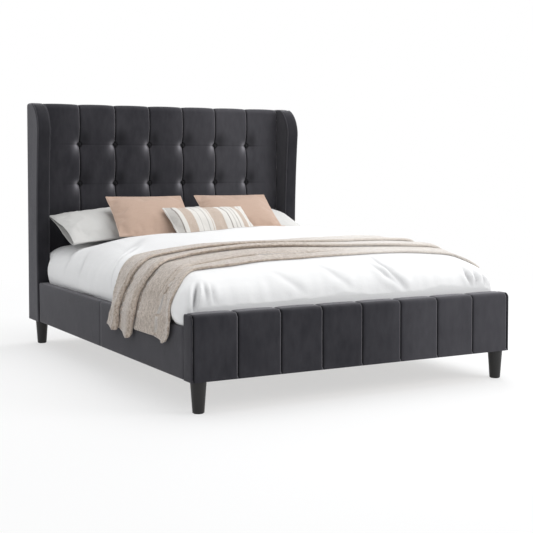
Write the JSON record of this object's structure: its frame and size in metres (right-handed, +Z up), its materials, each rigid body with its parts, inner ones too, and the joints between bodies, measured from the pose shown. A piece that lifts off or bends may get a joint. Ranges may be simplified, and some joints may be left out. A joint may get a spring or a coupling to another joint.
{
  "type": "upholstered bed",
  "caption": "King-size velvet bed with a winged, channelled and buttoned headboard, a channelled footboard, slats, mattress, duvet, throw, pillows and cushions.",
  "frame": {"origin": "on the floor, under the middle of the bed's length and width", "axes": "+Z up, -Y towards the footboard and +Y towards the headboard, +X to the right of someone who looks from the foot to the head"},
  "size_m": [1.6771, 2.1479, 1.345],
  "materials": {
    "velvet": "matte",
    "back_lining": "matte",
    "board": "matte",
    "timber": "matte",
    "slat_wood": "matte",
    "webbing": "matte",
    "dark_leg": "satin",
    "glide": "matte",
    "steel": "satin",
    "mattress_ticking": "matte",
    "white_cotton": "matte",
    "taupe_knit": "matte",
    "peach_linen": "matte",
    "striped_weave": "matte"
  },
  "bodies": {
    "bed_frame": {"headboard_frame": "timber", "headboard_face_board": "board", "headboard_pad": "velvet", "headboard_buttons": "velvet", "headboard_back_cover": "back_lining", "footboard_frame": "timber", "footboard_face_board": "board", "footboard_pad": "velvet", "footboard_back_cover": "back_lining", "rail_plates": "steel", "corner_brackets": "steel", "frame_bolts": "steel", "leg_glides": "glide", "centre_beam_foot_half": "steel", "centre_beam_head_half": "steel", "centre_beam_sleeve": "steel", "beam_hangers": "steel", "slat_straps": "webbing", "left_wing_frame": "timber", "left_wing_cover": "velvet", "left_foot_leg": "dark_leg", "left_head_leg": "dark_leg", "left_slat_ledge": "timber", "left_rail_board_foot": "timber", "left_rail_cover_foot": "velvet", "left_rail_board_head": "timber", "left_rail_cover_head": "velvet", "right_wing_frame": "timber", "right_wing_cover": "velvet", "right_foot_leg": "dark_leg", "right_head_leg": "dark_leg", "right_slat_ledge": "timber", "right_rail_board_foot": "timber", "right_rail_cover_foot": "velvet", "right_rail_board_head": "timber", "right_rail_cover_head": "velvet", "centre_leg_foot": "dark_leg", "centre_leg_head": "dark_leg", "slat_01": "slat_wood", "slat_02": "slat_wood", "slat_03": "slat_wood", "slat_04": "slat_wood", "slat_05": "slat_wood", "slat_06": "slat_wood", "slat_07": "slat_wood", "slat_08": "slat_wood", "slat_09": "slat_wood", "slat_10": "slat_wood", "slat_11": "slat_wood", "slat_12": "slat_wood"},
    "mattress": {"mattress": "mattress_ticking"},
    "duvet": {"duvet": "white_cotton"},
    "throw": {"throw_blanket": "taupe_knit"},
    "sleeping_pillows": {"left_pillow": "white_cotton", "right_pillow": "white_cotton"},
    "square_cushions": {"left_cushion": "peach_linen", "right_cushion": "peach_linen"},
    "lumbar_cushion": {"lumbar_cushion": "striped_weave"},
    "levelling_foot_foot": {"levelling_foot_foot": "glide"},
    "levelling_foot_head": {"levelling_foot_head": "glide"}
  },
  "joints": [
    {"name": "mattress_lift", "type": "slide", "parent": "bed_frame", "child": "mattress", "axis": [0, 0, 1], "range_m": [0, 0.45]},
    {"name": "duvet_lift", "type": "slide", "parent": "mattress", "child": "duvet", "axis": [0, 0, 1], "range_m": [0, 0.35]},
    {"name": "throw_lift", "type": "slide", "parent": "duvet", "child": "throw", "axis": [0, 0, 1], "range_m": [0, 0.45]},
    {"name": "pillows_lift", "type": "slide", "parent": "duvet", "child": "sleeping_pillows", "axis": [0, 0, 1], "range_m": [0, 0.3]},
    {"name": "cushions_lift", "type": "slide", "parent": "sleeping_pillows", "child": "square_cushions", "axis": [0, 0, 1], "range_m": [0, 0.3]},
    {"name": "lumbar_lift", "type": "slide", "parent": "square_cushions", "child": "lumbar_cushion", "axis": [0, 0, 1], "range_m": [0, 0.3]},
    {"name": "foot_end_levelling", "type": "slide", "parent": "bed_frame", "child": "levelling_foot_foot", "axis": [0, 0, 1], "range_m": [-0.012, 0]},
    {"name": "head_end_levelling", "type": "slide", "parent": "bed_frame", "child": "levelling_foot_head", "axis": [0, 0, 1], "range_m": [-0.012, 0]}
  ]
}
